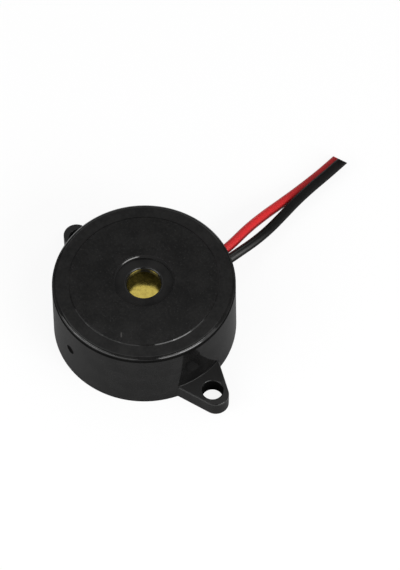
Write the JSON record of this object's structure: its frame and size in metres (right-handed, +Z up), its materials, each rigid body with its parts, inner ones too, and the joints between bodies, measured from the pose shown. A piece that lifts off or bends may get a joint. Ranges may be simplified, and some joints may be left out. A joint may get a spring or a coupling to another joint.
{
  "type": "buzzer",
  "caption": "Round flanged piezo buzzer with a sound hole in its recessed top, screw ears on opposite sides and a red and a black lead cut short.",
  "frame": {"origin": "centre of the case's base, on the surface that the case is screwed to", "axes": "+Z up through the sound hole, X through both ears' holes, +Y the way the leads leave"},
  "size_m": [0.035, 0.0501, 0.0107],
  "materials": {
    "case_plastic": "moulded black plastic, fine matt top, smoother wall",
    "cover_plastic": "moulded black plastic plate",
    "potting": "cured black potting glue",
    "soft_glue": "cloudy, slightly soft glue",
    "disc_brass": "rolled sheet brass",
    "piezo_ceramic": "sintered, fine matt",
    "silver_coat": "fired silver coat",
    "solder": "solder, bright and smooth",
    "board": "paper laminate",
    "pad_copper": "copper foil",
    "transistor_plastic": "moulded black epoxy",
    "tinned_wire": "tinned copper wire",
    "ferrite": "sintered ferrite, dark grey",
    "winding_wire": "enamelled copper wire in even turns",
    "resistor_coat": "dipped lacquer",
    "diode_glass": "tinted glass bead",
    "white_wire": "insulated fine wire",
    "red_insulation": "smooth extruded insulation",
    "black_insulation": "smooth extruded insulation"
  },
  "bodies": {
    "root": {"case": "case_plastic", "rear_cover": "cover_plastic", "cover_glue": "potting", "lead_glue": "soft_glue", "diaphragm_plate": "disc_brass", "piezo_ceramic": "piezo_ceramic", "drive_electrode": "silver_coat", "feedback_electrode": "silver_coat", "diaphragm_glue": "soft_glue", "disc_solder": "solder", "circuit_board": "board", "board_pads": "pad_copper", "board_solder": "solder", "transistor_body": "transistor_plastic", "transistor_legs": "tinned_wire", "inductor_core": "ferrite", "inductor_winding": "winding_wire", "inductor_pins": "tinned_wire", "resistor_1": "resistor_coat", "resistor_1_wires": "tinned_wire", "resistor_2": "resistor_coat", "resistor_2_wires": "tinned_wire", "diode": "diode_glass", "diode_wires": "tinned_wire", "plate_wire": "white_wire", "drive_wire": "white_wire", "feedback_wire": "white_wire", "red_lead": "red_insulation", "black_lead": "black_insulation", "red_core": "tinned_wire", "black_core": "tinned_wire"}
  },
  "joints": []
}
